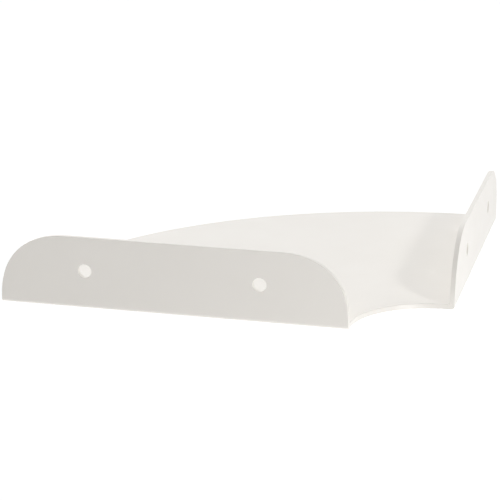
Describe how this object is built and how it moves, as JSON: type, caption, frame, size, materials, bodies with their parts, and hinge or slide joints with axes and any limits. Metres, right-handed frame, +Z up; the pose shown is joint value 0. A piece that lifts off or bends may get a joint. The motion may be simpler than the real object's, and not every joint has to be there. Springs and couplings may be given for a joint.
{
  "type": "corner wall shelf",
  "caption": "Quarter-round corner shelf of thin folded sheet, with a convex front edge, a concave cut-out at the room's corner and an upturned, round-ended screw flange along each wall.",
  "frame": {"origin": "centre of the 200 mm square that the shelf fills in plan, at the underside of the plate; the back wall is the plane y = 0.1 m, the left wall the plane x = -0.1 m, and the room's corner is at x = -0.1 m, y = 0.1 m", "axes": "+Z up; +Y towards the back wall; -X towards the left wall, so the rounded front edge faces +X and -Y"},
  "size_m": [0.2, 0.2, 0.0327],
  "materials": {
    "coated_sheet": "satin off-white powder coat"
  },
  "bodies": {
    "root": {"shelf_plate": "coated_sheet", "back_wall_flange": "coated_sheet", "left_wall_flange": "coated_sheet"}
  },
  "joints": []
}
